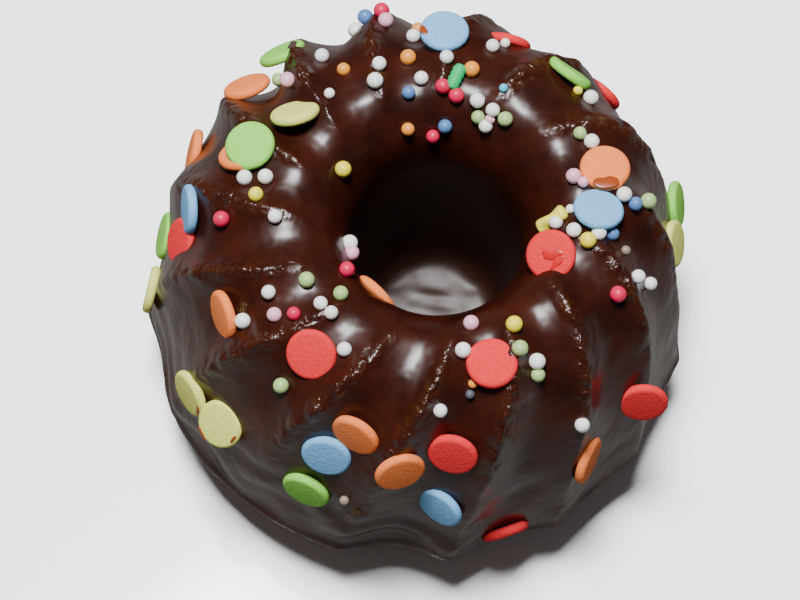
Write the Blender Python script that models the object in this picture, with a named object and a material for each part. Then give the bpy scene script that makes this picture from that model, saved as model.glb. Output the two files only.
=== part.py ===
"""Small fluted ring cake in a dark chocolate glaze, with its sugar decorations fused to it.

The cake is one solid. Its section is a crest line from the pooled glaze in the hole, up over the
crown and down to the widest edge, then in under the cake to the ring that it rests on. Fifteen ribs
turn clockwise as they run outward. Between them the surface falls back along the section's normal.

Places on the cake are given by bearing and reach. Bearing is in degrees from -Y towards +X. Reach is
0 at the rim of the hole and 100 at the widest edge. Lengths in the constants are in millimetres.
"""

import math
import random

import bmesh
import bpy
from mathutils import Matrix, Vector

MM = 0.001

# Section along a rib's crest: reach, radius, height
SECTION = (
    (-76, 4.6, 8.4),
    (-68, 8.0, 8.9),
    (-60, 9.7, 11.5),
    (-40, 10.4, 20.0),
    (-20, 11.0, 31.0),
    (-8, 11.6, 36.2),
    (0, 12.7, 39.3),
    (10, 14.8, 42.4),
    (22, 18.1, 44.5),
    (34, 22.6, 44.5),
    (46, 26.8, 42.9),
    (58, 30.3, 39.6),
    (70, 32.6, 34.6),
    (82, 34.3, 27.6),
    (92, 35.4, 19.4),
    (100, 36.2, 12.0),
)
# Underside, from below the widest edge to the dimple: radius, height
UNDERSIDE = ((35.8, 9.6), (33.8, 5.2), (30.6, 1.5), (27.5, 0.0), (18.0, 0.0), (12.0, 2.2), (5.0, 3.2))
RING_REACHES = (-76, -68, -60, -40, -20, -7, 4, 13, 22, 31, 40, 49, 57, 64, 71, 78, 85, 92, 96, 100)

# Ribs
RIBS = 15
PITCH = 360 / RIBS
COLUMNS_PER_RIB = 6
FIRST_RIB = 15.4
TWIST = -31.4
SWAY = 5.0
SWAY_TOWARD = -130
SWAY_REACH = 70
FAR_SWAY = 3.8
FAR_SWAY_START = (20, 60)
CREST_ROUNDNESS = 0.12
LINE_PASSES = 8
# Depth of the hollow after each rib, at the shoulder and at the widest edge
SHOULDER_DEPTHS = (2.8, 2.6, 2.6, 2.4, 2.2, 1.6, 2.0, 3.0, 3.0, 4.2, 2.2, 2.4, 2.6, 2.4, 2.4)
EDGE_DEPTHS = (2.6, 1.7, 1.3, 1.2, 1.2, 0.8, 1.0, 2.0, 2.0, 2.5, 0.8, 1.0, 1.2, 0.3, 0.4)
HOLLOW_START = (2, 62)
HOLLOW_TO_EDGE = (60, 95)

# Unevenness of the whole
HOLE_SHIFT = 1.8
HOLE_SHIFT_FADE = (0, 60)
FAR_SWELL = 1.4
FAR_SWELL_START = (15, 60)
LEFT_SWELL = 0.8
LEFT_SWELL_START = (55, 90)
CENTRE_SHIFT = (0.85, -1.45)

# Decorations
DISC_RADIUS = 3.25
DISC_THICKNESS = 1.3
DISC_SIDES = 10
DISC_RISE = 0.3
PEARL_RADIUS = 1.05
SMALL_PEARL_RADIUS = 0.7
PEARL_SIZES = (0.84, 1.04)
PEARL_RISE = 0.5
ROD_RADIUS = 0.9
ROD_SIDES = 8
ROD_RISE = 0.7

# Discs: bearing, reach, tilt from level, bearing that the disc faces, rise above the glaze
DISCS = (
    (-110, 38, 12, -60, 0.9),
    (-143, 61, 51, -147, 0.7),
    (-98, 88, 72, -92, 0.2),
    (-24, 86, 82, -22, 0.3),
    (109, 88, 72, 86, 1.2),
    (139.5, 50, 60, 141, 0.1),
    (-127, 31, 43, -161, 1.4),
    (-86, 90, 80, -98, 0.4),
    (-57, 84, 78, -55, 0.4),
    (-47, 83, 48, -38, 0.8),
    (99, 86, 68, 80, 0.7),
    (-130, 68, 44, -152, 1.3),
    (-108, 42, 34, -150, 0.0),
    (-114.5, 79, 76, -95, 0.4),
    (-62, 57, 77, -66, 0.4),
    (-15, 62, 78, -27, 0.5),
    (-4, 69, 76, 18, 0.6),
    (40.5, 86, 84, 66, 0.4),
    (105.5, 35, 5, 180, 0.7),
    (-43, -12, 85, 137, 0.2),
    (-94, 62, 78, -81, 0.5),
    (-21, 73, 68, -12, 0.3),
    (6, 86, 78, -33, 0.4),
    (91, 30, 18, 160, 1.1),
    (176, 40, 10, 180, 0.8),
    (-88, 71, 60, -75, 0.2),
    (-35, 40, 40, -20, 0.4),
    (22, 34, 4, 0, 0.5),
    (68, 15, 29, -39, 0.8),
    (159, 58, 76, 170, -0.7),
    (9, 67, 68, -12, 0.7),
    (58, 83, 71, 0, 1.2),
    (21, 99, 110, 22, 0.1),
    (136, 76, 78, 142, -0.7),
)

# Pearls: bearing, reach
PEARLS = (
    (-148, 47), (-162, 62), (-175, 45), (-160, 30), (-156, 25), (-174, 23), (-99, 38), (-100, 31),
    (-84, 27), (-79, -5), (-59, 36), (-44, 26), (-39, 26), (-56, 50), (-27, 33), (12, 27), (35, 40),
    (5, 47), (40, 70), (86, 13), (81, 22), (82, 31), (75, 52), (79, 66), (97, 41), (117, 35),
    (130, 48), (162, 42), (176, 30), (162, 17), (155, 9), (154, 16), (-168, 58), (-176, 1), (-87, 45),
    (-55, 7), (-47, 34), (68, 47), (178, 20), (172, 17), (-136, 44), (-168, 52), (-72, -5), (-51, 39),
    (17, 16), (105, 23), (-117, 7), (-92, 33), (33, 25), (78, 28), (-150, 35), (-171, 32), (-162, 5),
    (167, 28), (-177, 54), (-165, 60), (-167, 18), (84, 37), (95, 46), (177, 5), (-138, 60), (-56, 24),
    (-43, 18), (-37, 57), (31, 33), (34, 45), (96, 51), (121, 32), (160, 11), (147, 15),
)
SMALL_PEARLS = (
    (-139, 29), (-15, 84), (14, 43), (15, 39), (92, 19), (81, 45), (159, 48), (154, 12), (102, 26),
    (134, 46), (153, 25),
)
# Rods: two ends, each bearing and reach
RODS = (((175, 19), (171, 28)), ((85, 5), (91, 17)))

# Decorations on the far wall, spread by rule
FAR_DISCS = 9
FAR_PEARLS = 14
FAR_BEARINGS = (138, 214)
FAR_REACHES = (88, 97)
GOLDEN_PART = 0.618
SEED = 7

GLAZE_COLOUR = (0.055, 0.016, 0.008, 1)
GLAZE_ROUGHNESS = 0.22
GLAZE_COAT = 0.6
SHARP_ANGLE = 50


def ease(value, low, high):
    """Smooth step from 0 at low to 1 at high."""
    part = min(max((value - low) / (high - low), 0), 1)
    return part * part * (3 - 2 * part)


def section_at(reach):
    """Radius and height of the crest line at a reach, on a smooth curve through SECTION."""
    last = len(SECTION) - 2
    index = next((i for i in range(last) if reach <= SECTION[i + 1][0]), last)
    start, end = SECTION[index], SECTION[index + 1]
    before = SECTION[max(index - 1, 0)]
    after = SECTION[min(index + 2, last + 1)]
    span = end[0] - start[0]
    part = (reach - start[0]) / span
    place = []
    for axis in (1, 2):
        slope_in = (end[axis] - before[axis]) / (end[0] - before[0]) * span
        slope_out = (after[axis] - start[axis]) / (after[0] - start[0]) * span
        place.append(
            (2 * part**3 - 3 * part**2 + 1) * start[axis]
            + (part**3 - 2 * part**2 + part) * slope_in
            + (3 * part**2 - 2 * part**3) * end[axis]
            + (part**3 - part**2) * slope_out
        )
    return place


def rib_turn(bearing, reach):
    """Bearing of the first rib's crest at a reach, with the sway of the ribs on two sides."""
    sway = SWAY * max(0, math.cos(math.radians(bearing - SWAY_TOWARD)))
    sway *= min(max(1 - reach / SWAY_REACH, 0), 1)
    sway += FAR_SWAY * max(0, -math.cos(math.radians(bearing))) ** 4 * ease(reach, *FAR_SWAY_START)
    return FIRST_RIB + TWIST * min(max(reach, 0), 100) / 100 + sway


def hollow_shape(phase):
    """0 on a rib's narrow crest and 1 at the bottom of the round hollow between two ribs."""
    wave = math.hypot(math.sin(math.pi * phase), CREST_ROUNDNESS) - CREST_ROUNDNESS
    return wave / (math.hypot(1, CREST_ROUNDNESS) - CREST_ROUNDNESS)


def hollow_fall(bearing, reach):
    """Distance from the crest line's surface back to the glaze, at a bearing and reach."""
    phase = (bearing - rib_turn(bearing, reach)) / PITCH
    rib = math.floor(phase) % RIBS
    low = ease(reach, *HOLLOW_TO_EDGE)
    depth = (1 - low) * SHOULDER_DEPTHS[rib] + low * EDGE_DEPTHS[rib]
    return depth * ease(reach, *HOLLOW_START) * hollow_shape(phase)


def on_cake(bearing, reach):
    """Point of the glazed surface at a bearing and reach, in millimetres."""
    radius, height = section_at(reach)
    below, above = section_at(reach - 1), section_at(reach + 1)
    run = Vector((above[0] - below[0], above[1] - below[1])).normalized()
    fall = hollow_fall(bearing, reach)
    angle = math.radians(bearing)
    radius += FAR_SWELL * max(0, -math.cos(angle)) * ease(reach, *FAR_SWELL_START)
    radius += LEFT_SWELL * max(0, -math.sin(angle)) ** 2 * ease(reach, *LEFT_SWELL_START)
    radius += fall * run.y
    height -= fall * run.x
    shift = HOLE_SHIFT * (1 - ease(reach, *HOLE_SHIFT_FADE))
    return Vector((
        radius * math.sin(angle) + shift + CENTRE_SHIFT[0],
        -radius * math.cos(angle) + CENTRE_SHIFT[1],
        height,
    ))


def outward_normal(bearing, reach, span):
    """Normal of the glaze, averaged over a patch about span millimetres wide."""
    turn = math.degrees(span / 2 / section_at(reach)[0])
    step = span / 2
    along = on_cake(bearing, min(reach + step, 100)) - on_cake(bearing, reach - step)
    across = on_cake(bearing + turn, reach) - on_cake(bearing - turn, reach)
    return across.cross(along).normalized() * -1


def facing(tilt, toward):
    """Unit vector tilted from +Z towards a bearing."""
    lean, turn = math.radians(tilt), math.radians(toward)
    return Vector((math.sin(lean) * math.sin(turn), -math.sin(lean) * math.cos(turn), math.cos(lean)))


def glaze_material():
    """Dark chocolate glaze."""
    material = bpy.data.materials.new("chocolate_glaze")
    material.use_nodes = True
    shader = material.node_tree.nodes["Principled BSDF"]
    shader.inputs["Base Color"].default_value = GLAZE_COLOUR
    shader.inputs["Roughness"].default_value = GLAZE_ROUGHNESS
    shader.inputs["Coat Weight"].default_value = GLAZE_COAT
    material.diffuse_color = GLAZE_COLOUR
    return material


def line_bearing(phase, reach):
    """Bearing at a reach of the line that runs along the ribs, phase ribs on from the first."""
    bearing = FIRST_RIB + phase * PITCH
    for _ in range(LINE_PASSES):
        bearing = rib_turn(bearing, reach) + phase * PITCH
    return bearing


def cake_rings():
    """Rings of points from the pooled glaze over the crown and under the cake, in millimetres."""
    phases = [column / COLUMNS_PER_RIB for column in range(RIBS * COLUMNS_PER_RIB)]
    rings = [[on_cake(line_bearing(phase, reach), reach) for phase in phases] for reach in RING_REACHES]
    edge = rings[-1]
    middle = Vector((CENTRE_SHIFT[0], CENTRE_SHIFT[1], 0))
    for radius, height in UNDERSIDE:
        share = radius / SECTION[-1][1]
        ring = [middle + (point - middle) * share for point in edge]
        rings.append([Vector((point.x, point.y, height)) for point in ring])
    return rings


def build_cake():
    """The plain glazed cake: a line spun into a tube, each of its points then put on the surface."""
    shape = bmesh.new()
    rings = cake_rings()
    columns = len(rings[0])
    line = [shape.verts.new((1, 0, index)) for index in range(len(rings))]
    for first, second in zip(line, line[1:]):
        shape.edges.new((first, second))
    bmesh.ops.spin(
        shape, geom=shape.verts[:] + shape.edges[:], cent=(0, 0, 0), axis=(0, 0, 1),
        angle=math.tau, steps=columns, use_merge=True,
    )
    for vert in shape.verts:
        column = round(math.atan2(vert.co.y, vert.co.x) / math.tau * columns) % columns
        vert.co = rings[round(vert.co.z)][column] * MM
    rims = [edge for edge in shape.edges if edge.is_boundary]
    bmesh.ops.holes_fill(shape, edges=rims, sides=0)
    bmesh.ops.recalc_face_normals(shape, faces=shape.faces)
    mesh = bpy.data.meshes.new("cake")
    shape.to_mesh(mesh)
    shape.free()
    return bpy.data.objects.new("cake", mesh)


def lay(mesh, place, normal, collection, size=1):
    """Object with the mesh, its +Z along normal, at a place given in millimetres."""
    piece = bpy.data.objects.new(mesh.name, mesh)
    turn = normal.to_track_quat("Z", "Y").to_matrix().to_4x4()
    piece.matrix_world = Matrix.Translation(place * MM) @ turn @ Matrix.Scale(size, 4)
    collection.objects.link(piece)
    return piece


def disc_mesh():
    """Sugar disc, centred on its middle."""
    shape = bmesh.new()
    bmesh.ops.create_cone(
        shape, cap_ends=True, segments=DISC_SIDES, radius1=DISC_RADIUS * MM,
        radius2=DISC_RADIUS * MM, depth=DISC_THICKNESS * MM,
    )
    mesh = bpy.data.meshes.new("disc")
    shape.to_mesh(mesh)
    shape.free()
    return mesh


def pearl_mesh():
    """Sugar pearl with few sides and a radius of one millimetre."""
    shape = bmesh.new()
    bmesh.ops.create_icosphere(shape, subdivisions=1, radius=MM)
    mesh = bpy.data.meshes.new("pearl")
    shape.to_mesh(mesh)
    shape.free()
    return mesh


def pearl_size(bearing, reach):
    """Share of the full radius that the pearl at a place has."""
    low, high = PEARL_SIZES
    return low + (high - low) * ((abs(bearing) * GOLDEN_PART + reach * (1 - GOLDEN_PART)) % 1)


def rod_mesh(length):
    """Sugar rod lying along its own Z."""
    shape = bmesh.new()
    bmesh.ops.create_cone(
        shape, cap_ends=True, segments=ROD_SIDES, radius1=ROD_RADIUS * MM,
        radius2=ROD_RADIUS * MM, depth=length * MM,
    )
    mesh = bpy.data.meshes.new("rod")
    shape.to_mesh(mesh)
    shape.free()
    return mesh


def far_spots(count, draw):
    """Bearings and reaches spread evenly over the far wall, each a little off its even place."""
    for index in range(count):
        share = (index + 0.5) / count
        bearing = FAR_BEARINGS[0] + (FAR_BEARINGS[1] - FAR_BEARINGS[0]) * share + draw.uniform(-3, 3)
        part = (index * GOLDEN_PART + draw.uniform(-0.08, 0.08)) % 1
        yield bearing, FAR_REACHES[0] + (FAR_REACHES[1] - FAR_REACHES[0]) * part


def lay_decorations(collection):
    """Discs, pearls and rods where they lie on the glaze."""
    draw = random.Random(SEED)
    disc = disc_mesh()
    for bearing, reach, tilt, toward, rise in DISCS:
        normal = outward_normal(bearing, reach, DISC_RADIUS)
        lay(disc, on_cake(bearing, reach) + normal * rise, facing(tilt, toward), collection)
    for bearing, reach in far_spots(FAR_DISCS, draw):
        normal = outward_normal(bearing, reach, DISC_RADIUS)
        lay(disc, on_cake(bearing, reach) + normal * DISC_RISE, normal, collection)
    spots = [(PEARL_RADIUS, spot) for spot in PEARLS]
    spots += [(SMALL_PEARL_RADIUS, spot) for spot in SMALL_PEARLS]
    spots += [(PEARL_RADIUS, spot) for spot in far_spots(FAR_PEARLS, draw)]
    pearl = pearl_mesh()
    for full, (bearing, reach) in spots:
        radius = full * pearl_size(bearing, reach)
        normal = outward_normal(bearing, reach, 2 * full)
        place = on_cake(bearing, reach) + normal * PEARL_RISE * radius
        lay(pearl, place, normal, collection, radius)
    for ends in RODS:
        first, second = (
            on_cake(*end) + outward_normal(*end, 2 * ROD_RADIUS) * ROD_RISE for end in ends
        )
        lay(rod_mesh((second - first).length), (first + second) / 2, (second - first).normalized(), collection)


def fuse(cake, collection):
    """Join everything in the collection to the cake, then remove the collection's objects."""
    union = cake.modifiers.new("decorations", "BOOLEAN")
    union.operation = "UNION"
    union.operand_type = "COLLECTION"
    union.collection = collection
    bpy.context.view_layer.update()
    evaluated = cake.evaluated_get(bpy.context.evaluated_depsgraph_get())
    fused = bpy.data.meshes.new_from_object(evaluated)
    fused.name = "cake"
    cake.modifiers.clear()
    cake.data = fused
    for piece in list(collection.objects):
        bpy.data.objects.remove(piece)
    bpy.data.collections.remove(collection)


def main():
    """Build the cake at the origin, standing on its underside."""
    for old in list(bpy.data.objects):
        bpy.data.objects.remove(old)
    scene = bpy.context.scene.collection
    cake = build_cake()
    scene.objects.link(cake)
    decorations = bpy.data.collections.new("decorations")
    scene.children.link(decorations)
    lay_decorations(decorations)
    fuse(cake, decorations)
    cake.data.materials.clear()
    cake.data.materials.append(glaze_material())
    cake.data.shade_smooth()
    cake.data.set_sharp_from_angle(angle=math.radians(SHARP_ANGLE))


main()
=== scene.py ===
"""Small fluted ring cake in chocolate glaze with sugar decorations, dressed for rendering.

The baked body, its glaze and its decorations are made here in full detail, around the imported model.
Places on the cake are given by bearing and reach. Bearing is in degrees from -Y towards +X. Reach is
0 at the rim of the hole and 100 at the widest edge. Sizes in the classes are in millimetres.
"""

import logging
import math
import random
from collections.abc import Callable
from dataclasses import dataclass, field
from enum import Enum
from functools import cached_property, lru_cache

import bmesh
import bpy
from mathutils import Matrix, Vector, noise

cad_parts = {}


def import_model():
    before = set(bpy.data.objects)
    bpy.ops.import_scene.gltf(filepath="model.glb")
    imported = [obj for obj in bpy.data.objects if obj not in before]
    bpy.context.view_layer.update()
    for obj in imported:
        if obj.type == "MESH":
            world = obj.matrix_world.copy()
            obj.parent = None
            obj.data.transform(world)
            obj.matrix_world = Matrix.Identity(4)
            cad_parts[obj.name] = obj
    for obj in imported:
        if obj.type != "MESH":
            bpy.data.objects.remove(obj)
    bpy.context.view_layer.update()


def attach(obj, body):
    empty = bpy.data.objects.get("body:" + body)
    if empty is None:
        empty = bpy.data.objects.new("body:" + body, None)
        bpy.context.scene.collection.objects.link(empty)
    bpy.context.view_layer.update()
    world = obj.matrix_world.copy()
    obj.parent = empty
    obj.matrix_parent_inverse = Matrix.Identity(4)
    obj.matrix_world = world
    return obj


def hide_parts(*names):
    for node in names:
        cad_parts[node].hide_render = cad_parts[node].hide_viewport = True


LOG = logging.getLogger("ring_cake")
MM = 0.001
SEED = 7
GOLDEN_PART = 0.618
EDGE_REACH = 100.0
LINE_PASSES = 5
CENTRE_SHIFT = (0.85, -1.45)

Spot = tuple[float, float]
Span = tuple[float, float]


def ease(value: float, low: float, high: float) -> float:
    """Smooth step from 0 at low to 1 at high."""
    part = min(max((value - low) / (high - low), 0.0), 1.0)
    return part * part * (3 - 2 * part)


def linear(red: int, green: int, blue: int) -> tuple[float, float, float, float]:
    """Scene-linear colour of an 8-bit display colour."""
    parts = [channel / 255 for channel in (red, green, blue)]
    return tuple(p / 12.92 if p <= 0.04045 else ((p + 0.055) / 1.055) ** 2.4 for p in parts) + (1.0,)


@dataclass(frozen=True, eq=False)
class CakeForm:
    """The cake's surface: a crest line turned about the hole, with twisted ribs cut into it.

    The section is a list of reach, radius and height. Fields named start or fade hold the two reaches
    between which a change comes in or goes out.
    """

    section: tuple[tuple[float, float, float], ...] = (
        (-76, 4.6, 8.4),
        (-68, 8.0, 8.9),
        (-60, 9.7, 11.5),
        (-40, 10.4, 20.0),
        (-20, 11.0, 31.0),
        (-8, 11.6, 36.2),
        (0, 12.7, 39.3),
        (10, 14.8, 42.4),
        (22, 18.1, 44.5),
        (34, 22.6, 44.5),
        (46, 26.8, 42.9),
        (58, 30.3, 39.6),
        (70, 32.6, 34.6),
        (82, 34.3, 27.6),
        (92, 35.4, 19.4),
        (100, 36.2, 12.0),
    )
    ribs: int = 15
    first_rib: float = 15.4
    twist: float = -31.4
    sway: float = 5.0
    sway_toward: float = -130
    sway_reach: float = 70
    far_sway: float = 3.8
    far_sway_power: int = 4
    far_sway_start: Span = (20, 60)
    crest_roundness: float = 0.12
    hollow_start: Span = (2, 62)
    edge_depth_start: Span = (60, 95)
    shoulder_depths: tuple[float, ...] = (
        2.8, 2.6, 2.6, 2.4, 2.2, 1.6, 2.0, 3.0, 3.0, 4.2, 2.2, 2.4, 2.6, 2.4, 2.4,
    )
    edge_depths: tuple[float, ...] = (
        2.6, 1.7, 1.3, 1.2, 1.2, 0.8, 1.0, 2.0, 2.0, 2.5, 0.8, 1.0, 1.2, 0.3, 0.4,
    )
    hole_shift: float = 1.8
    hole_shift_fade: Span = (0, 60)
    far_swell: float = 1.4
    far_swell_start: Span = (15, 60)
    left_swell: float = 0.8
    left_swell_start: Span = (55, 90)

    @property
    def pitch(self) -> float:
        """Degrees from one rib to the next."""
        return 360 / self.ribs

    def section_at(self, reach: float) -> tuple[float, float]:
        """Radius and height of the crest line.

        Args:
            reach: Place along the crest line.

        Returns:
            Radius and height on a smooth curve through the section's points.
        """
        keys = self.section
        last = len(keys) - 2
        index = next((i for i in range(last) if reach <= keys[i + 1][0]), last)
        start, end = keys[index], keys[index + 1]
        before = keys[max(index - 1, 0)]
        after = keys[min(index + 2, last + 1)]
        span = end[0] - start[0]
        part = (reach - start[0]) / span
        place = []
        for axis in (1, 2):
            slope_in = (end[axis] - before[axis]) / (end[0] - before[0]) * span
            slope_out = (after[axis] - start[axis]) / (after[0] - start[0]) * span
            place.append(
                (2 * part**3 - 3 * part**2 + 1) * start[axis]
                + (part**3 - 2 * part**2 + part) * slope_in
                + (3 * part**2 - 2 * part**3) * end[axis]
                + (part**3 - part**2) * slope_out
            )
        return place[0], place[1]

    @lru_cache(maxsize=None)
    def stance(self, reach: float) -> tuple[float, float, float, float]:
        """Radius and height of the crest line, with the radius and height parts of its direction."""
        radius, height = self.section_at(reach)
        below, above = self.section_at(reach - 1), self.section_at(reach + 1)
        run = Vector((above[0] - below[0], above[1] - below[1])).normalized()
        return radius, height, run.x, run.y

    def rib_turn(self, bearing: float, reach: float) -> float:
        """Bearing of the first rib's crest, with the sway of the ribs on two sides.

        Args:
            bearing: Side of the cake that the sway is taken for.
            reach: Place along the crest line.

        Returns:
            The bearing in degrees.
        """
        sway = self.sway * max(0.0, math.cos(math.radians(bearing - self.sway_toward)))
        sway *= min(max(1 - reach / self.sway_reach, 0.0), 1.0)
        far = max(0.0, -math.cos(math.radians(bearing))) ** self.far_sway_power
        sway += self.far_sway * far * ease(reach, *self.far_sway_start)
        return self.first_rib + self.twist * min(max(reach, 0.0), EDGE_REACH) / EDGE_REACH + sway

    def line_bearing(self, phase: float, reach: float) -> float:
        """Bearing of the line that runs along the ribs.

        Args:
            phase: Ribs on from the first one.
            reach: Place along the line.

        Returns:
            The bearing in degrees.
        """
        bearing = self.first_rib + phase * self.pitch
        for _ in range(LINE_PASSES):
            bearing = self.rib_turn(bearing, reach) + phase * self.pitch
        return bearing

    def phase_at(self, bearing: float, reach: float) -> float:
        """Ribs on from the first one, whole on a crest and halfway in a hollow."""
        return (bearing - self.rib_turn(bearing, reach)) / self.pitch

    def hollow_shape(self, phase: float) -> float:
        """0 on a rib's narrow crest and 1 at the bottom of the round hollow."""
        wave = math.hypot(math.sin(math.pi * phase), self.crest_roundness) - self.crest_roundness
        return wave / (math.hypot(1, self.crest_roundness) - self.crest_roundness)

    def hollow_fall(self, bearing: float, reach: float) -> float:
        """Distance from the crest line's surface back to the glaze."""
        phase = self.phase_at(bearing, reach)
        rib = math.floor(phase) % self.ribs
        low = ease(reach, *self.edge_depth_start)
        depth = (1 - low) * self.shoulder_depths[rib] + low * self.edge_depths[rib]
        return depth * ease(reach, *self.hollow_start) * self.hollow_shape(phase)

    def point(self, bearing: float, reach: float) -> Vector:
        """Point of the glazed surface.

        Args:
            bearing: Degrees from -Y towards +X.
            reach: Place along the crest line.

        Returns:
            The point in millimetres.
        """
        radius, height, outward, upward = self.stance(reach)
        fall = self.hollow_fall(bearing, reach)
        angle = math.radians(bearing)
        radius += self.far_swell * max(0.0, -math.cos(angle)) * ease(reach, *self.far_swell_start)
        radius += self.left_swell * max(0.0, -math.sin(angle)) ** 2 * ease(reach, *self.left_swell_start)
        radius += fall * upward
        height -= fall * outward
        shift = self.hole_shift * (1 - ease(reach, *self.hole_shift_fade))
        return Vector((
            radius * math.sin(angle) + shift + CENTRE_SHIFT[0],
            -radius * math.cos(angle) + CENTRE_SHIFT[1],
            height,
        ))

    def normal(self, bearing: float, reach: float, span: float) -> Vector:
        """Outward normal of the glaze, averaged over a patch.

        Args:
            bearing: Degrees from -Y towards +X.
            reach: Place along the crest line.
            span: Width of the patch in millimetres.

        Returns:
            The unit normal.
        """
        turn = math.degrees(span / 2 / self.section_at(reach)[0])
        step = span / 2
        along = self.point(bearing, min(reach + step, EDGE_REACH)) - self.point(bearing, reach - step)
        across = self.point(bearing + turn, reach) - self.point(bearing - turn, reach)
        return -across.cross(along).normalized()


FORM = CakeForm()


@dataclass
class NodeSheet:
    """A material's or a group's node tree, with short ways to add and join nodes."""

    tree: bpy.types.NodeTree

    def add(self, kind: str, **settings: object) -> bpy.types.Node:
        """Add a node.

        Args:
            kind: Blender's name for the node type.
            settings: Properties of the node; a key such as in_Scale sets the input named Scale.

        Returns:
            The new node.
        """
        node = self.tree.nodes.new(kind)
        for name, value in settings.items():
            if name.startswith("in_"):
                node.inputs[name[3:].replace("_", " ")].default_value = value
            else:
                setattr(node, name, value)
        return node

    def join(self, start: bpy.types.NodeSocket, end: bpy.types.NodeSocket) -> None:
        """Join an output to an input."""
        self.tree.links.new(start, end)

    def ramp(
        self, source: bpy.types.NodeSocket, stops: tuple[tuple[float, tuple], ...]
    ) -> bpy.types.NodeSocket:
        """Colour ramp on a value.

        Args:
            source: The value.
            stops: Positions with their colours.

        Returns:
            The ramp's colour.
        """
        node = self.tree.nodes.new("ShaderNodeValToRGB")
        elements = node.color_ramp.elements
        while len(elements) < len(stops):
            elements.new(0.5)
        for element, (position, colour) in zip(elements, stops):
            element.position = position
            element.color = colour
        self.join(source, node.inputs["Fac"])
        return node.outputs["Color"]

    def math(
        self, operation: str, first: object, second: object, clamp: bool = False
    ) -> bpy.types.NodeSocket:
        """Math node on two values, each a socket or a number.

        Args:
            operation: Blender's name for the operation.
            first: First value.
            second: Second value.
            clamp: Whether the result is kept within 0 and 1.

        Returns:
            The result.
        """
        node = self.tree.nodes.new("ShaderNodeMath")
        node.operation = operation
        node.use_clamp = clamp
        for index, value in enumerate((first, second)):
            if isinstance(value, bpy.types.NodeSocket):
                self.join(value, node.inputs[index])
            else:
                node.inputs[index].default_value = value
        return node.outputs[0]

    def above(self, value: bpy.types.NodeSocket, low: float, high: float) -> bpy.types.NodeSocket:
        """0 below low and 1 above high, straight between."""
        return self.math("MULTIPLY", self.math("SUBTRACT", value, low), 1 / (high - low), clamp=True)

    def mix(self, share: object, first: object, second: object) -> bpy.types.NodeSocket:
        """Mix of two colours, each a socket or a colour.

        Args:
            share: Part of the second colour.
            first: First colour.
            second: Second colour.

        Returns:
            The mixed colour.
        """
        node = self.tree.nodes.new("ShaderNodeMix")
        node.data_type = "RGBA"
        for socket, value in ((node.inputs[0], share), (node.inputs[6], first), (node.inputs[7], second)):
            if isinstance(value, bpy.types.NodeSocket):
                self.join(value, socket)
            else:
                socket.default_value = value
        return node.outputs[2]


def new_material(name: str) -> tuple[bpy.types.Material, NodeSheet, bpy.types.Node]:
    """Material with a Principled shader.

    Args:
        name: The material's name.

    Returns:
        The material, its node sheet and its shader.
    """
    material = bpy.data.materials.new(name)
    material.use_nodes = True
    sheet = NodeSheet(material.node_tree)
    return material, sheet, material.node_tree.nodes["Principled BSDF"]


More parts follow.
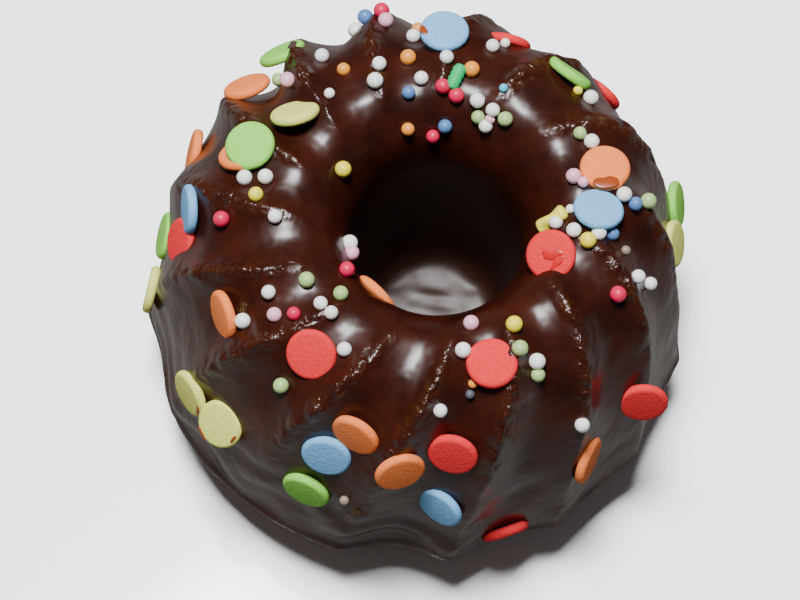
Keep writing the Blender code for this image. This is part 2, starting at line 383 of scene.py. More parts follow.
@dataclass(frozen=True)
class ChocolateFinish:
    """Dark chocolate glaze, smooth in the hollows and thin and lumpy on the crests, with painted shade in
    the hole.

    Patches are noise values between which the glaze turns thin or bare along the crests. Level slopes
    are upward parts of the normal between which small lumps come in. The roughness adds up.
    """

    deep: tuple[float, ...] = linear(39, 14, 8)
    warm: tuple[float, ...] = linear(60, 21, 9)
    thin: tuple[float, ...] = linear(64, 28, 10)
    bare: tuple[float, ...] = linear(86, 64, 20)
    # Painted shade: the dark colour that the hole and its pool are mixed towards
    hole_shade_colour: tuple[float, ...] = linear(40, 17, 10)
    level_slopes: Span = (0.3, 0.7)
    thin_patches: Span = (0.36, 0.56)
    thin_share: float = 0.6
    bare_patches: Span = (0.62, 0.7)
    bare_share: float = 0.5
    calm_share: float = 0.3
    roughness: float = 0.22
    cloud_roughness: float = 0.16
    depth_roughness: float = 0.16
    bare_roughness: float = 0.3
    specular: float = 0.4

    def material(self) -> bpy.types.Material:
        """The glaze's material."""
        material, sheet, shader = new_material("chocolate_glaze")
        coords = sheet.add("ShaderNodeTexCoord")
        place = coords.outputs["Object"]
        slope = sheet.add("ShaderNodeSeparateXYZ")
        sheet.join(coords.outputs["Normal"], slope.inputs["Vector"])
        level = sheet.above(slope.outputs["Z"], *self.level_slopes)
        crest = sheet.add("ShaderNodeAttribute", attribute_name="crest").outputs["Fac"]
        # The depth mark is 1 in the hole; it brings in the painted shade there, more roughness and a
        # calmer surface
        depth = sheet.add("ShaderNodeAttribute", attribute_name="depth").outputs["Fac"]
        spots = sheet.add("ShaderNodeAttribute", attribute_name="bare").outputs["Fac"]
        cloud = sheet.add("ShaderNodeTexNoise", in_Scale=180.0, in_Detail=5.0, in_Roughness=0.6)
        patch = sheet.add("ShaderNodeTexNoise", in_Scale=320.0, in_Detail=3.0, in_Roughness=0.55)
        lumps = sheet.add("ShaderNodeTexNoise", in_Scale=850.0, in_Detail=2.0, in_Roughness=0.5)
        soft = sheet.add("ShaderNodeTexNoise", in_Scale=380.0, in_Detail=1.0, in_Roughness=0.5)
        for node in (cloud, patch, lumps, soft):
            sheet.join(place, node.inputs["Vector"])
        body = sheet.ramp(cloud.outputs["Fac"], ((0.34, self.deep), (0.7, self.warm)))
        broken = sheet.math("MULTIPLY", crest, sheet.above(patch.outputs["Fac"], *self.thin_patches))
        body = sheet.mix(sheet.math("MULTIPLY", broken, self.thin_share), body, self.thin)
        bared = sheet.math("MULTIPLY", crest, sheet.above(patch.outputs["Fac"], *self.bare_patches))
        bared = sheet.math("MAXIMUM", bared, spots)
        broken = sheet.math("MAXIMUM", broken, spots)
        body = sheet.mix(sheet.math("MULTIPLY", bared, self.bare_share), body, self.bare)
        # Painted shade: the body colour turns to the dark hole colour where the depth mark is high
        sheet.join(sheet.mix(depth, body, self.hole_shade_colour), shader.inputs["Base Color"])
        rough = self.roughness
        for value, share in (
            (cloud.outputs["Fac"], self.cloud_roughness),
            (depth, self.depth_roughness),
            (spots, self.bare_roughness),
        ):
            rough = sheet.math("ADD", rough, sheet.math("MULTIPLY", value, share))
        sheet.join(rough, shader.inputs["Roughness"])
        open_part = sheet.math("SUBTRACT", 1.0, depth)
        calm = sheet.math("MULTIPLY", soft.outputs["Fac"], self.calm_share)
        calm = sheet.math("MULTIPLY", calm, open_part)
        lumpy = sheet.math("MULTIPLY", sheet.math("MULTIPLY", lumps.outputs["Fac"], broken), level)
        height = sheet.math("ADD", lumpy, calm)
        bump = sheet.add("ShaderNodeBump", in_Strength=0.9, in_Distance=0.0007)
        sheet.join(height, bump.inputs["Height"])
        sheet.join(bump.outputs["Normal"], shader.inputs["Normal"])
        shader.inputs["Specular IOR Level"].default_value = self.specular
        return material


@dataclass(frozen=True)
class CrustFinish:
    """Bare baked sponge under the glaze."""

    dark: tuple[float, ...] = linear(74, 42, 26)
    light: tuple[float, ...] = linear(150, 100, 60)
    roughness: float = 0.85

    def material(self) -> bpy.types.Material:
        """The sponge's material."""
        material, sheet, shader = new_material("baked_sponge")
        place = sheet.add("ShaderNodeTexCoord").outputs["Object"]
        crumb = sheet.add("ShaderNodeTexNoise", in_Scale=420.0, in_Detail=6.0, in_Roughness=0.7)
        pore = sheet.add("ShaderNodeTexVoronoi", in_Scale=520.0)
        for node in (crumb, pore):
            sheet.join(place, node.inputs["Vector"])
        sheet.join(
            sheet.ramp(crumb.outputs["Fac"], ((0.3, self.dark), (0.7, self.light))),
            shader.inputs["Base Color"],
        )
        height = sheet.math("ADD", crumb.outputs["Fac"], pore.outputs["Distance"])
        bump = sheet.add("ShaderNodeBump", in_Strength=0.8, in_Distance=0.0006)
        sheet.join(height, bump.inputs["Height"])
        sheet.join(bump.outputs["Normal"], shader.inputs["Normal"])
        shader.inputs["Roughness"].default_value = self.roughness
        return material


class SugarKind(Enum):
    """Sugar decorations by make, with roughness, coat and depth of grain."""

    DISC = (0.85, 0.0, 0.0002)
    PEARL = (0.35, 0.25, 0.00005)
    ROD = (0.4, 0.2, 0.00006)


def sugar_grain() -> bpy.types.NodeTree:
    """Node group that speckles a sugar colour and roughens its surface, made once."""
    if "sugar_grain" in bpy.data.node_groups:
        return bpy.data.node_groups["sugar_grain"]
    group = bpy.data.node_groups.new("sugar_grain", "ShaderNodeTree")
    group.interface.new_socket("Colour", in_out="INPUT", socket_type="NodeSocketColor")
    group.interface.new_socket("Depth", in_out="INPUT", socket_type="NodeSocketFloat")
    group.interface.new_socket("Colour", in_out="OUTPUT", socket_type="NodeSocketColor")
    group.interface.new_socket("Normal", in_out="OUTPUT", socket_type="NodeSocketVector")
    sheet = NodeSheet(group)
    given = sheet.add("NodeGroupInput")
    result = sheet.add("NodeGroupOutput")
    speck = sheet.add("ShaderNodeTexNoise", in_Scale=2600.0, in_Detail=3.0, in_Roughness=0.6)
    sheet.join(sheet.add("ShaderNodeTexCoord").outputs["Object"], speck.inputs["Vector"])
    lit = sheet.above(speck.outputs["Fac"], 0.3, 0.6)
    dim = sheet.mix(0.18, given.outputs["Colour"], (0.0, 0.0, 0.0, 1.0))
    sheet.join(sheet.mix(lit, dim, given.outputs["Colour"]), result.inputs["Colour"])
    bump = sheet.add("ShaderNodeBump", in_Strength=0.5)
    sheet.join(given.outputs["Depth"], bump.inputs["Distance"])
    sheet.join(speck.outputs["Fac"], bump.inputs["Height"])
    sheet.join(bump.outputs["Normal"], result.inputs["Normal"])
    return group


@dataclass(frozen=True)
class SugarFinish:
    """Coloured sugar, pressed or polished."""

    name: str
    colour: tuple[float, ...]
    kind: SugarKind
    coat_roughness: float = 0.2
    specular: float = 0.25

    def material(self) -> bpy.types.Material:
        """The sugar's material."""
        roughness, coat, grain = self.kind.value
        material, sheet, shader = new_material(self.name)
        speckled = sheet.add("ShaderNodeGroup", node_tree=sugar_grain())
        speckled.inputs["Colour"].default_value = self.colour
        speckled.inputs["Depth"].default_value = grain
        sheet.join(speckled.outputs["Colour"], shader.inputs["Base Color"])
        sheet.join(speckled.outputs["Normal"], shader.inputs["Normal"])
        shader.inputs["Roughness"].default_value = roughness
        shader.inputs["Coat Weight"].default_value = coat
        shader.inputs["Coat Roughness"].default_value = self.coat_roughness
        shader.inputs["Specular IOR Level"].default_value = self.specular
        return material


def finished(name: str, shape: bmesh.types.BMesh, material: bpy.types.Material) -> bpy.types.Object:
    """Object made of a shape, at the origin, smooth and with its material.

    Args:
        name: The piece's name.
        shape: Its mesh, in metres; freed here.
        material: Its finish.

    Returns:
        The object, linked to the scene and riding on the cake.
    """
    mesh = bpy.data.meshes.new(name)
    shape.to_mesh(mesh)
    shape.free()
    mesh.shade_smooth()
    mesh.materials.append(material)
    piece = bpy.data.objects.new(name, mesh)
    bpy.context.scene.collection.objects.link(piece)
    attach(piece, "root")
    LOG.info("%s: %d faces", name, len(mesh.polygons))
    return piece


def spun_tube(
    rings: list[list[Vector]], marks: dict[str, Callable[[int, int], float]] | None = None
) -> bmesh.types.BMesh:
    """Closed body through rings of points: a line spun into a tube, its points then placed.

    Args:
        rings: Rings with the same number of points each, in millimetres.
        marks: Values by ring and column, each kept in a layer with its own name.

    Returns:
        The shape, in metres.
    """
    shape = bmesh.new()
    marks = marks or {}
    layers = {name: shape.verts.layers.float.new(name) for name in marks}
    columns = len(rings[0])
    line = [shape.verts.new((1, 0, index)) for index in range(len(rings))]
    for first, second in zip(line, line[1:]):
        shape.edges.new((first, second))
    bmesh.ops.spin(
        shape, geom=shape.verts[:] + shape.edges[:], cent=(0, 0, 0), axis=(0, 0, 1),
        angle=math.tau, steps=columns, use_merge=True,
    )
    for vert in shape.verts:
        column = round(math.atan2(vert.co.y, vert.co.x) / math.tau * columns) % columns
        ring = round(vert.co.z)
        vert.co = rings[ring][column] * MM
        for name, mark in marks.items():
            vert[layers[name]] = mark(ring, column)
    rims = [edge for edge in shape.edges if edge.is_boundary]
    bmesh.ops.holes_fill(shape, edges=rims, sides=0)
    bmesh.ops.recalc_face_normals(shape, faces=shape.faces)
    return shape


@dataclass
class Glaze:
    """The chocolate glaze from its pool in the hole to its lip under the widest edge.

    Its relief is made of waves all over, ripples in the pool, crumbs and pocks along the crests, and
    folds low on the near left. Depths are in millimetres, and a fade is a pair of reaches, heights or
    distances between which a share falls or rises.
    """

    columns_per_rib: int = 28
    crowding: float = 0.1
    pool_rings: int = 16
    pool_middle: float = 0.4
    pool_wave: float = 0.3
    pool_wave_sizes: Span = (4.0, 1.8)
    pool_wave_level: float = 0.4
    pool_top: Span = (9, 12)
    hole_step: float = 0.8
    row_step: float = 0.36
    crest_start: Span = (12, 40)
    crest_fade: Span = (58, 84)
    crest_left: float = 0.15
    crest_width: Span = (0.02, 0.2)
    # Reaches over which the hole's painted shade fades out
    hole_shade_fade: Span = (-34, 2)
    outside_start: Span = (14, 22)
    crumb_depth: float = 0.4
    crumb_size: float = 2.4
    crumb_octaves: tuple[float, float, int] = (0.9, 2.0, 2)
    pock_depth: float = 0.4
    pock_size: float = 2.6
    pock_fade: Span = (0.1, 0.34)
    wave_depth: float = 0.24
    wave_size: float = 5.0
    wave_inside: float = 0.3
    fold_depth: float = 0.2
    fold_gap: float = 8.0
    fold_toward: float = -40
    fold_spread: float = 0.7
    fold_elsewhere: float = 0.15
    fold_fade: Span = (18, 30)
    fold_bend: float = 9.0
    fold_bend_size: float = 13.0
    ragged: float = 1.1
    bare_core: float = 0.4
    lip_rings: tuple[tuple[float, float], ...] = (
        (0.32, -0.5), (0.3, -1.1), (-0.1, -1.6), (-0.9, -1.7), (-6.0, -4.6),
    )
    bare_spots: tuple[tuple[float, float, float], ...] = (
        (-12, 87, 2.6), (-7, 78, 1.4), (-60, 50, 1.2), (44, 92, 1.0),
    )
    finish: ChocolateFinish = field(default_factory=ChocolateFinish)

    @cached_property
    def row_reaches(self) -> list[float]:
        """Reaches of the rings from the foot of the hole to the widest edge, evenly far apart."""
        reaches = [float(FORM.section[0][0])]
        walked = 0.0
        for tenth in range(round(10 * reaches[0]), round(10 * EDGE_REACH)):
            walked += math.dist(FORM.section_at(tenth / 10), FORM.section_at(tenth / 10 + 0.1))
            if walked >= (self.hole_step if tenth < 0 else self.row_step):
                reaches.append(tenth / 10 + 0.1)
                walked = 0.0
        return [*reaches[:-1], EDGE_REACH]

    @cached_property
    def column_phases(self) -> list[float]:
        """Places of the columns between the ribs, closer together near the crests."""
        even = [column / self.columns_per_rib for column in range(FORM.ribs * self.columns_per_rib)]
        return [phase - self.crowding * math.sin(math.tau * phase) for phase in even]

    def rings(self) -> list[list[Vector]]:
        """Rings of points from the middle of the pool to below the lip."""
        walls = [
            [FORM.point(FORM.line_bearing(phase, reach), reach) for phase in self.column_phases]
            for reach in self.row_reaches
        ]
        foot, edge = walls[0], walls[-1]
        middle = sum(foot, Vector()) / len(foot)
        pool = []
        for index in range(self.pool_rings):
            share = (index + self.pool_middle) / (self.pool_rings + self.pool_middle)
            pool.append([middle + (point - middle) * share for point in foot])
        centre = Vector((CENTRE_SHIFT[0], CENTRE_SHIFT[1], 0))
        lip = []
        for out, down in self.lip_rings:
            rays = [Vector((point.x - centre.x, point.y - centre.y, 0)).normalized() for point in edge]
            lip.append([point + ray * out + Vector((0, 0, down)) for point, ray in zip(edge, rays)])
        return pool + walls + lip

    def reach_of(self, ring: int) -> float:
        """Reach of a ring, with the pool's rings at the foot and the lip's at the edge."""
        return self.row_reaches[min(max(ring - self.pool_rings, 0), len(self.row_reaches) - 1)]

    def crest_share(self, ring: int, column: int) -> float:
        """1 on the line of a rib's crest, fading to 0 towards its hollows and into the hole."""
        reach = self.reach_of(ring)
        off = self.column_phases[column] % 1
        along = ease(reach, *self.crest_start)
        along *= 1 - (1 - self.crest_left) * ease(reach, *self.crest_fade)
        return along * (1 - ease(min(off, 1 - off), *self.crest_width))

    def hole_shade_share(self, ring: int, _column: int) -> float:
        """Mark for the hole's painted shade and rougher glaze: 1 in the hole and its pool, fading to 0
        over the rim.
        """
        return 1 - ease(self.reach_of(ring), *self.hole_shade_fade)

    def rise_at(self, place: Vector, crest: float) -> float:
        """How far the glaze stands proud of its plain surface.

        Args:
            place: Point of the surface in millimetres.
            crest: Share of crest there.

        Returns:
            The rise in millimetres.
        """
        flat = Vector((place.x - CENTRE_SHIFT[0], place.y - CENTRE_SHIFT[1]))
        bearing = math.degrees(math.atan2(flat.x, -flat.y))
        outside = ease(flat.length, *self.outside_start)
        waviness = self.wave_inside + (1 - self.wave_inside) * outside
        rise = self.wave_depth * waviness * noise.noise(place / self.wave_size)
        across, along = self.pool_wave_sizes
        ripple = noise.noise(Vector((place.x / across, place.y / along, self.pool_wave_level)))
        rise += self.pool_wave * (1 - ease(place.z, *self.pool_top)) * ripple
        crumbs = noise.fractal(place / self.crumb_size, *self.crumb_octaves)
        rise += crest * self.crumb_depth * crumbs
        near = noise.voronoi(place / self.pock_size)[0][0]
        rise -= crest * self.pock_depth * (1 - ease(near, *self.pock_fade))
        side = max(0.0, math.cos(math.radians(bearing - self.fold_toward))) ** self.fold_spread
        side = self.fold_elsewhere + (1 - self.fold_elsewhere) * side
        low = 1 - ease(place.z, *self.fold_fade)
        bend = self.fold_bend * noise.noise(place / self.fold_bend_size)
        fold = math.sin(math.tau * (place.z + bend) / self.fold_gap)
        return rise + self.fold_depth * side * low * outside * fold

    @cached_property
    def bare_middles(self) -> list[tuple[Vector, float]]:
        """Middles and sizes of the spots where crumbs break through."""
        return [(FORM.point(bearing, reach), size) for bearing, reach, size in self.bare_spots]

    def bare_share(self, place: Vector) -> float:
        """1 where crumbs break through the glaze, with an uneven edge."""
        ragged = self.ragged * noise.noise(place / self.ragged)
        return max(
            1 - ease((place - middle).length + ragged, self.bare_core * size, size)
            for middle, size in self.bare_middles
        )

    def build(self) -> bpy.types.Object:
        """The glaze as a piece that stands for the cake's solid."""
        # The depth mark places the painted shade of the hole
        shape = spun_tube(self.rings(), {"crest": self.crest_share, "depth": self.hole_shade_share})
        shape.normal_update()
        layer = shape.verts.layers.float["crest"]
        bare = shape.verts.layers.float.new("bare")
        moves = []
        for vert in shape.verts:
            vert[bare] = self.bare_share(vert.co / MM)
            rise = self.rise_at(vert.co / MM, max(vert[layer], vert[bare]))
            moves.append(vert.normal * rise * MM)
        for vert, move in zip(shape.verts, moves):
            vert.co += move
        piece = finished("glaze", shape, self.finish.material())
        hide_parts("cake")
        return piece


@dataclass
class Crust:
    """The baked sponge that shows under the glaze's lip, with the ring it stands on.

    The section is a list of radius and height, from inside the glaze round to the dimple's middle.
    """

    section: tuple[tuple[float, float], ...] = (
        (28.0, 7.0), (34.4, 11.4), (35.3, 10.2), (35.0, 8.4), (33.6, 5.0), (30.6, 1.5), (27.5, 0.0),
        (18.0, 0.0), (12.0, 2.2), (5.0, 3.2),
    )
    columns_per_rib: int = 12
    finish: CrustFinish = field(default_factory=CrustFinish)

    def build(self) -> bpy.types.Object:
        """The sponge as a piece."""
        phases = [column / self.columns_per_rib for column in range(FORM.ribs * self.columns_per_rib)]
        edge = [FORM.point(FORM.line_bearing(phase, EDGE_REACH), EDGE_REACH) for phase in phases]
        centre = Vector((CENTRE_SHIFT[0], CENTRE_SHIFT[1], 0))
        rings = []
        for radius, height in self.section:
            share = radius / FORM.section[-1][1]
            ring = [centre + (point - centre) * share for point in edge]
            rings.append([Vector((point.x, point.y, height)) for point in ring])
        piece = finished("sponge", spun_tube(rings), self.finish.material())
        return piece


def facing(tilt: float, toward: float) -> Vector:
    """Unit vector tilted from +Z towards a bearing."""
    lean, turn = math.radians(tilt), math.radians(toward)
    return Vector((math.sin(lean) * math.sin(turn), -math.sin(lean) * math.cos(turn), math.cos(lean)))


FAR_DISCS = 9
FAR_PEARLS = 14
FAR_BEARINGS = (138, 214)
FAR_REACHES = (88, 97)
BEARING_PLAY = 3
REACH_PLAY = 0.08


def far_spots(count: int, draw: random.Random) -> list[Spot]:
    """Spots spread evenly over the far wall, each a little off its even place.

    Args:
        count: Number of spots.
        draw: Seeded source of the small offsets.

    Returns:
        Bearings and reaches.
    """
    first, last = FAR_BEARINGS
    low, high = FAR_REACHES
    spots = []
    for index in range(count):
        even = first + (last - first) * (index + 0.5) / count
        bearing = even + draw.uniform(-BEARING_PLAY, BEARING_PLAY)
        part = (index * GOLDEN_PART + draw.uniform(-REACH_PLAY, REACH_PLAY)) % 1
        spots.append((bearing, low + (high - low) * part))
    return spots


DISC_COLOURS = {
    "green": linear(146, 224, 90),
    "pale": linear(228, 234, 120),
    "orange": linear(255, 136, 70),
    "blue": linear(124, 186, 236),
    "coral": linear(232, 48, 54),
}
# Discs: bearing and reach, tilt from level and the bearing of the tilt, rise above the glaze
DISCS = {
    "green": (
        (-110, 38, 12, -60, 0.9), (-143, 61, 51, -147, 0.7), (-98, 88, 72, -92, 0.2),
        (-24, 86, 82, -22, 0.3), (109, 88, 72, 86, 1.2), (139.5, 50, 60, 141, 0.1),
    ),
    "pale": (
        (-127, 31, 43, -161, 1.4), (-86, 90, 80, -98, 0.4), (-57, 84, 78, -55, 0.4),
        (-47, 83, 48, -38, 0.8), (99, 86, 68, 80, 0.7),
    ),
    "orange": (
        (-130, 68, 44, -152, 1.3), (-108, 42, 34, -150, 0.0), (-114.5, 79, 76, -95, 0.4),
        (-62, 57, 77, -66, 0.4), (-15, 62, 78, -27, 0.5), (-4, 69, 76, 18, 0.6),
        (40.5, 86, 84, 66, 0.4), (105.5, 35, 5, 180, 0.7), (-43, -12, 85, 137, 0.2),
    ),
    "blue": (
        (-94, 62, 78, -81, 0.5), (-21, 73, 68, -12, 0.3), (6, 86, 78, -33, 0.4),
        (91, 30, 18, 160, 1.1), (176, 40, 10, 180, 0.8),
    ),
    "coral": (
        (-88, 71, 60, -75, 0.2), (-35, 40, 40, -20, 0.4), (22, 34, 4, 0, 0.5),
        (68, 15, 29, -39, 0.8), (159, 58, 76, 170, -0.7), (9, 67, 68, -12, 0.7),
        (58, 83, 71, 0, 1.2), (21, 99, 110, 22, 0.1), (136, 76, 78, 142, -0.7),
    ),
}
# Smears: disc's colour and number, bearing and distance from its middle, length, width
SMEARS = (
    ("orange", 7, 5, 2.5, 2.6, 1.5),
    ("pale", 3, 45, 2.7, 1.6, 0.5),
    ("pale", 3, -60, 2.9, 2.0, 0.35),
    ("pale", 2, 70, 2.7, 2.0, 0.6),
    ("blue", 4, -80, 2.7, 1.8, 1.0),
)
RED_SMEARS = (
    ("coral", 3, 100, 0.3, 1.3, 2.6),
    ("coral", 3, 40, 1.4, 2.4, 0.8),
)
PEARL_COLOURS = {
    "white": linear(252, 252, 250),
    "pink": linear(226, 30, 82),
    "light_pink": linear(248, 184, 204),
    "yellow": linear(246, 232, 64),
    "orange": linear(246, 158, 60),
    "blue": linear(92, 132, 190),
    "green": linear(172, 208, 132),
    "turquoise": linear(84, 200, 222),
    "glass": linear(92, 92, 104),
    "dull": linear(150, 132, 118),
}
# Pearls: bearing and reach
PEARLS = {
    "white": (
        (-148, 47), (-162, 62), (-175, 45), (-160, 30), (-156, 25), (-174, 23), (-99, 38),
        (-100, 31), (-84, 27), (-79, -5), (-59, 36), (-44, 26), (-39, 26), (-56, 50), (-27, 33),
        (12, 27), (35, 40), (5, 47), (40, 70), (86, 13), (81, 22), (82, 31), (75, 52), (79, 66),
        (97, 41), (117, 35), (130, 48), (162, 42), (176, 30), (162, 17), (155, 9), (154, 16),
    ),
    "pink": (
        (-168, 58), (-176, 1), (-87, 45), (-55, 7), (-47, 34), (68, 47), (178, 20), (172, 17),
    ),
    "light_pink": ((-136, 44), (-168, 52), (-72, -5), (-51, 39), (17, 16), (105, 23)),
    "yellow": ((-117, 7), (-92, 33), (33, 25), (78, 28)),
    "orange": ((-150, 35), (-171, 32), (-162, 5), (167, 28), (-177, 54)),
    "blue": ((-165, 60), (-167, 18), (84, 37), (95, 46), (177, 5)),
    "green": (
        (-138, 60), (-56, 24), (-43, 18), (-37, 57), (31, 33), (34, 45), (96, 51), (121, 32),
        (160, 11), (147, 15),
    ),
}
SMALL_PEARLS = {
    "white": ((-139, 29), (92, 19), (159, 48)),
    "light_pink": ((154, 12), (102, 26)),
    "yellow": ((134, 46),),
    "orange": ((15, 39),),
    "turquoise": ((153, 25),),
    "glass": ((14, 43),),
    "dull": ((-15, 84), (81, 45)),
}


@dataclass
class SugarDiscs:
    """Pressed sugar discs of one colour."""

    colour: str
    rows: tuple[tuple[float, ...], ...]
    far: list[Spot]
    radius: float = 3.25
    thickness: float = 1.3
    edge: float = 0.6
    edge_steps: int = 5
    sides: int = 48
    far_rise: float = 0.3

    def add_disc(self, shape: bmesh.types.BMesh, place: Vector, axis: Vector) -> None:
        """Add one disc with rounded rims, centred on a place."""
        turn = axis.to_track_quat("Z", "Y").to_matrix().to_4x4()
        made = bmesh.ops.create_cone(
            shape, cap_ends=True, segments=self.sides, radius1=self.radius * MM,
            radius2=self.radius * MM, depth=self.thickness * MM,
            matrix=Matrix.Translation(place * MM) @ turn,
        )
        rims = {
            edge for vert in made["verts"] for edge in vert.link_edges
            if any(len(face.verts) > 4 for face in edge.link_faces)
        }
        bmesh.ops.bevel(
            shape, geom=list(rims), offset=self.edge * MM, affect="EDGES",
            segments=self.edge_steps, profile=0.5, material=-1,
        )

    def build(self) -> bpy.types.Object:
        """All discs of the colour as one piece."""
        shape = bmesh.new()
        for bearing, reach, tilt, toward, rise in self.rows:
            normal = FORM.normal(bearing, reach, self.radius)
            self.add_disc(shape, FORM.point(bearing, reach) + normal * rise, facing(tilt, toward))
        for bearing, reach in self.far:
            normal = FORM.normal(bearing, reach, self.radius)
            self.add_disc(shape, FORM.point(bearing, reach) + normal * self.far_rise, normal)
        finish = SugarFinish("sugar_disc_" + self.colour, DISC_COLOURS[self.colour], SugarKind.DISC)
        piece = finished("discs_" + self.colour, shape, finish.material())
        return piece


@dataclass
class SugarPearls:
    """Sugar pearls of one colour."""

    colour: str
    spots: tuple[Spot, ...]
    small_spots: tuple[Spot, ...]
    far: list[Spot]
    radius: float = 1.05
    small_radius: float = 0.7
    sizes: tuple[float, float] = (0.84, 1.04)
    rise: float = 0.5

    def size_at(self, bearing: float, reach: float) -> float:
        """Share of the full radius that the pearl at a place has."""
        low, high = self.sizes
        return low + (high - low) * ((abs(bearing) * GOLDEN_PART + reach * (1 - GOLDEN_PART)) % 1)

    def build(self) -> bpy.types.Object:
        """All pearls of the colour as one piece."""
        shape = bmesh.new()
        sized = [(self.radius, spot) for spot in (*self.spots, *self.far)]
        sized += [(self.small_radius, spot) for spot in self.small_spots]
        for full, (bearing, reach) in sized:
            radius = full * self.size_at(bearing, reach)
            normal = FORM.normal(bearing, reach, 2 * full)
            place = FORM.point(bearing, reach) + normal * self.rise * radius
            bmesh.ops.create_icosphere(
                shape, subdivisions=3, radius=radius * MM, matrix=Matrix.Translation(place * MM)
            )
        finish = SugarFinish("sugar_pearl_" + self.colour, PEARL_COLOURS[self.colour], SugarKind.PEARL)
        piece = finished("pearls_" + self.colour, shape, finish.material())
        return piece


@dataclass
class SugarRod:
    """A short sugar rod lying on the glaze, banded or twisted, with rounded ends."""

    name: str
    ends: tuple[Spot, Spot]
    colour: tuple[float, ...]
    bands: int = 0
    band_depth: float = 0.0
    lobe_depth: float = 0.0
    twist: float = 0.0
    radius: float = 0.9
    end_round: float = 0.6
    end_size: float = 0.4
    rise: float = 0.7
    steps: int = 40
    sides: int = 24

    def ring(self, share: float, length: float) -> list[Vector]:
        """Points around the rod, lying along Z, at a share of its length."""
        inward = min(min(share, 1 - share) * length / self.end_round, 1.0)
        size = self.end_size + (1 - self.end_size) * math.sqrt(1 - (1 - inward) ** 2)
        size *= self.radius
        size *= 1 + self.band_depth * math.cos(math.tau * share * self.bands)
        points = []
        for column in range(self.sides):
            angle = math.tau * column / self.sides
            lobe = 1 + self.lobe_depth * math.cos(2 * angle - math.radians(self.twist) * share)
            spread = Vector((math.cos(angle), math.sin(angle), 0)) * size * lobe
            points.append(spread + Vector((0, 0, (share - 0.5) * length)))
        return points

    def build(self) -> bpy.types.Object:
        """The rod as a piece."""
        first, second = (
            FORM.point(*end) + FORM.normal(*end, 2 * self.radius) * self.rise for end in self.ends
        )
        axis = second - first
        turn = axis.normalized().to_track_quat("Z", "Y").to_matrix()
        middle = (first + second) / 2
        rings = [self.ring(index / self.steps, axis.length) for index in range(self.steps + 1)]
        rings = [[middle + turn @ point for point in ring] for ring in rings]
        finish = SugarFinish(self.name, self.colour, SugarKind.ROD)
        piece = finished(self.name, spun_tube(rings), finish.material())
        return piece


@dataclass
class Smears:
    """Thin smears of glaze left on some of the discs."""

    name: str
    rows: tuple[tuple[str, int, float, float, float, float], ...]
    colour: tuple[float, ...]
    thickness: float = 0.12
    unevenness: float = 0.5
    uneven_size: float = 0.8
    roughness: float = 0.3

    def build(self) -> bpy.types.Object:
        """All smears as one piece: uneven flat drops, each on its disc."""
        shape = bmesh.new()
        for colour, index, toward, off, length, width in self.rows:
            bearing, reach, tilt, turned, rise = DISCS[colour][index]
            axis = facing(tilt, turned)
            centre = FORM.point(bearing, reach) + FORM.normal(bearing, reach, SugarDiscs.radius) * rise
            way = facing(90, toward)
            way = (way - axis * way.dot(axis)).normalized()
            place = centre + way * off + axis * SugarDiscs.thickness / 2
            side = axis.cross(way)
            turn = Matrix((side, way, axis)).transposed().to_4x4()
            size = Matrix.Diagonal((length / 2, width / 2, self.thickness, 1))
            made = bmesh.ops.create_icosphere(
                shape, subdivisions=3, radius=MM, matrix=Matrix.Translation(place * MM) @ turn @ size
            )
            for vert in made["verts"]:
                spread = vert.co - place * MM
                spread *= self.unevenness * noise.noise(vert.co / MM / self.uneven_size)
                vert.co += spread - axis * spread.dot(axis)
        material, _, shader = new_material(self.name)
        shader.inputs["Base Color"].default_value = self.colour
        shader.inputs["Roughness"].default_value = self.roughness
        piece = finished(self.name, shape, material)
        return piece


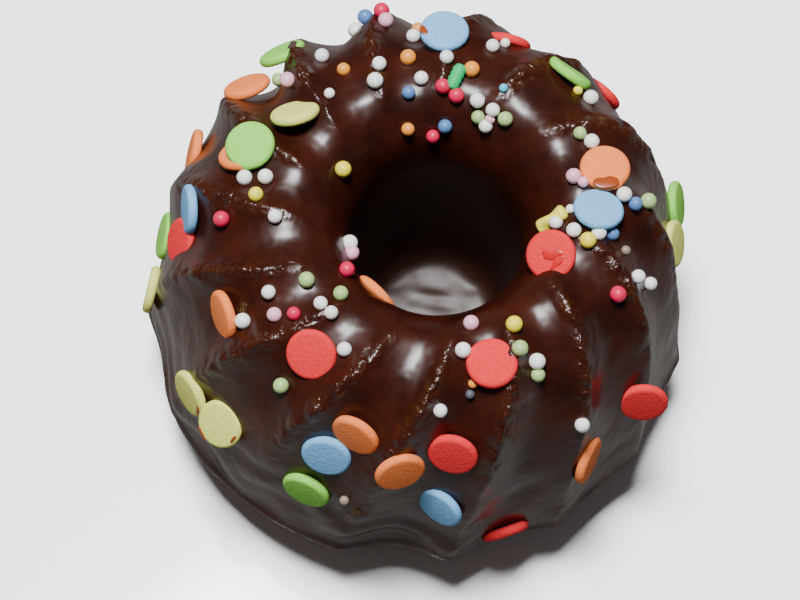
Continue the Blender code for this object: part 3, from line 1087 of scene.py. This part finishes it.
@dataclass
class Studio:
    """Pale floor, soft light from above and the camera.

    The camera stands at a distance from its target, in millimetres, and its focal length in pixels is
    that distance times the focal share. The target falls on the target pixel of the image. The light
    and the floor are in metres.
    """

    elevation: float = 66.45
    distance: float = 353.4
    focal_share: float = 7.35
    sensor_width: float = 36.0
    target: tuple[float, float, float] = (0.85, -1.45, 19.0)
    target_pixel: tuple[float, float] = (420.0, 287.9)
    roll: float = 1.86
    image: tuple[int, int] = (800, 600)
    floor_colour: tuple[float, ...] = (1.5, 1.52, 1.54, 1.0)
    floor_bounce: tuple[float, ...] = linear(138, 136, 134)
    floor_half: float = 1.5
    floor_roughness: float = 0.12
    lamp_side: float = 0.22
    lamp_energy: float = 13.0
    lamp_place: tuple[float, float, float] = (-0.07, 0.065, 0.8)
    world_colour: tuple[float, ...] = (0.9, 0.95, 1.0, 1.0)
    world_strength: float = 0.055

    def build_floor(self) -> bpy.types.Object:
        """The floor, left out of the cake's body."""
        shape = bmesh.new()
        bmesh.ops.create_grid(shape, x_segments=2, y_segments=2, size=self.floor_half)
        mesh = bpy.data.meshes.new("floor")
        shape.to_mesh(mesh)
        shape.free()
        material, sheet, shader = new_material("pale_floor")
        path = sheet.add("ShaderNodeLightPath")
        seen = sheet.mix(path.outputs["Is Camera Ray"], self.floor_bounce, self.floor_colour)
        sheet.join(seen, shader.inputs["Base Color"])
        shader.inputs["Roughness"].default_value = self.floor_roughness
        mesh.materials.append(material)
        floor = bpy.data.objects.new("floor", mesh)
        bpy.context.scene.collection.objects.link(floor)
        return floor

    def build_light(self) -> None:
        """A soft light above the cake and a pale world."""
        lamp = bpy.data.lights.new("soft_light", "AREA")
        lamp.shape = "RECTANGLE"
        lamp.size = self.lamp_side
        lamp.size_y = self.lamp_side
        lamp.energy = self.lamp_energy
        holder = bpy.data.objects.new("soft_light", lamp)
        holder.location = self.lamp_place
        holder.rotation_euler = (-Vector(self.lamp_place)).to_track_quat("-Z", "Y").to_euler()
        bpy.context.scene.collection.objects.link(holder)
        world = bpy.data.worlds.new("studio")
        world.use_nodes = True
        background = world.node_tree.nodes["Background"]
        background.inputs["Color"].default_value = self.world_colour
        background.inputs["Strength"].default_value = self.world_strength
        bpy.context.scene.world = world

    def build_camera(self) -> bpy.types.Object:
        """The camera at the photograph's viewing angle."""
        lean = math.radians(self.elevation)
        aim = Vector(self.target) * MM
        back = Vector((0, -math.cos(lean), math.sin(lean)))
        lens = bpy.data.cameras.new("camera")
        focal = self.focal_share * self.distance
        lens.sensor_width = self.sensor_width
        lens.lens = focal / self.image[0] * lens.sensor_width
        turn = back.to_track_quat("Z", "Y").to_matrix()
        turn = turn @ Matrix.Rotation(math.radians(self.roll), 3, "Z")
        off = Vector((
            (self.target_pixel[0] - self.image[0] / 2) / focal,
            (self.image[1] / 2 - self.target_pixel[1]) / focal,
            -1,
        ))
        camera = bpy.data.objects.new("camera", lens)
        camera.matrix_world = Matrix.Translation(aim - turn @ off * self.distance * MM) @ turn.to_4x4()
        bpy.context.scene.collection.objects.link(camera)
        bpy.context.scene.camera = camera
        return camera

    def build(self) -> None:
        """Floor, light and camera."""
        self.build_floor()
        self.build_light()
        self.build_camera()


def main() -> None:
    """Build every piece."""
    logging.basicConfig(level=logging.INFO)
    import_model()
    draw = random.Random(SEED)
    far_discs = far_spots(FAR_DISCS, draw)
    far_pearls = far_spots(FAR_PEARLS, draw)
    Glaze().build()
    Crust().build()
    for index, (colour, rows) in enumerate(DISCS.items()):
        SugarDiscs(colour, rows, far_discs[index::len(DISCS)]).build()
    for index, colour in enumerate(PEARL_COLOURS):
        far = far_pearls[index::len(PEARL_COLOURS)]
        SugarPearls(colour, PEARLS.get(colour, ()), SMALL_PEARLS.get(colour, ()), far).build()
    SugarRod(
        "rod_green", ((175, 19), (171, 28)), linear(10, 190, 110), bands=5, band_depth=0.06
    ).build()
    SugarRod(
        "rod_yellow", ((85, 5), (91, 17)), linear(246, 238, 84), lobe_depth=0.16, twist=400
    ).build()
    Smears("glaze_smears", SMEARS, linear(150, 66, 24)).build()
    Smears("red_smears", RED_SMEARS, linear(198, 30, 30)).build()
    Studio().build()


if __name__ == "__main__":
    main()
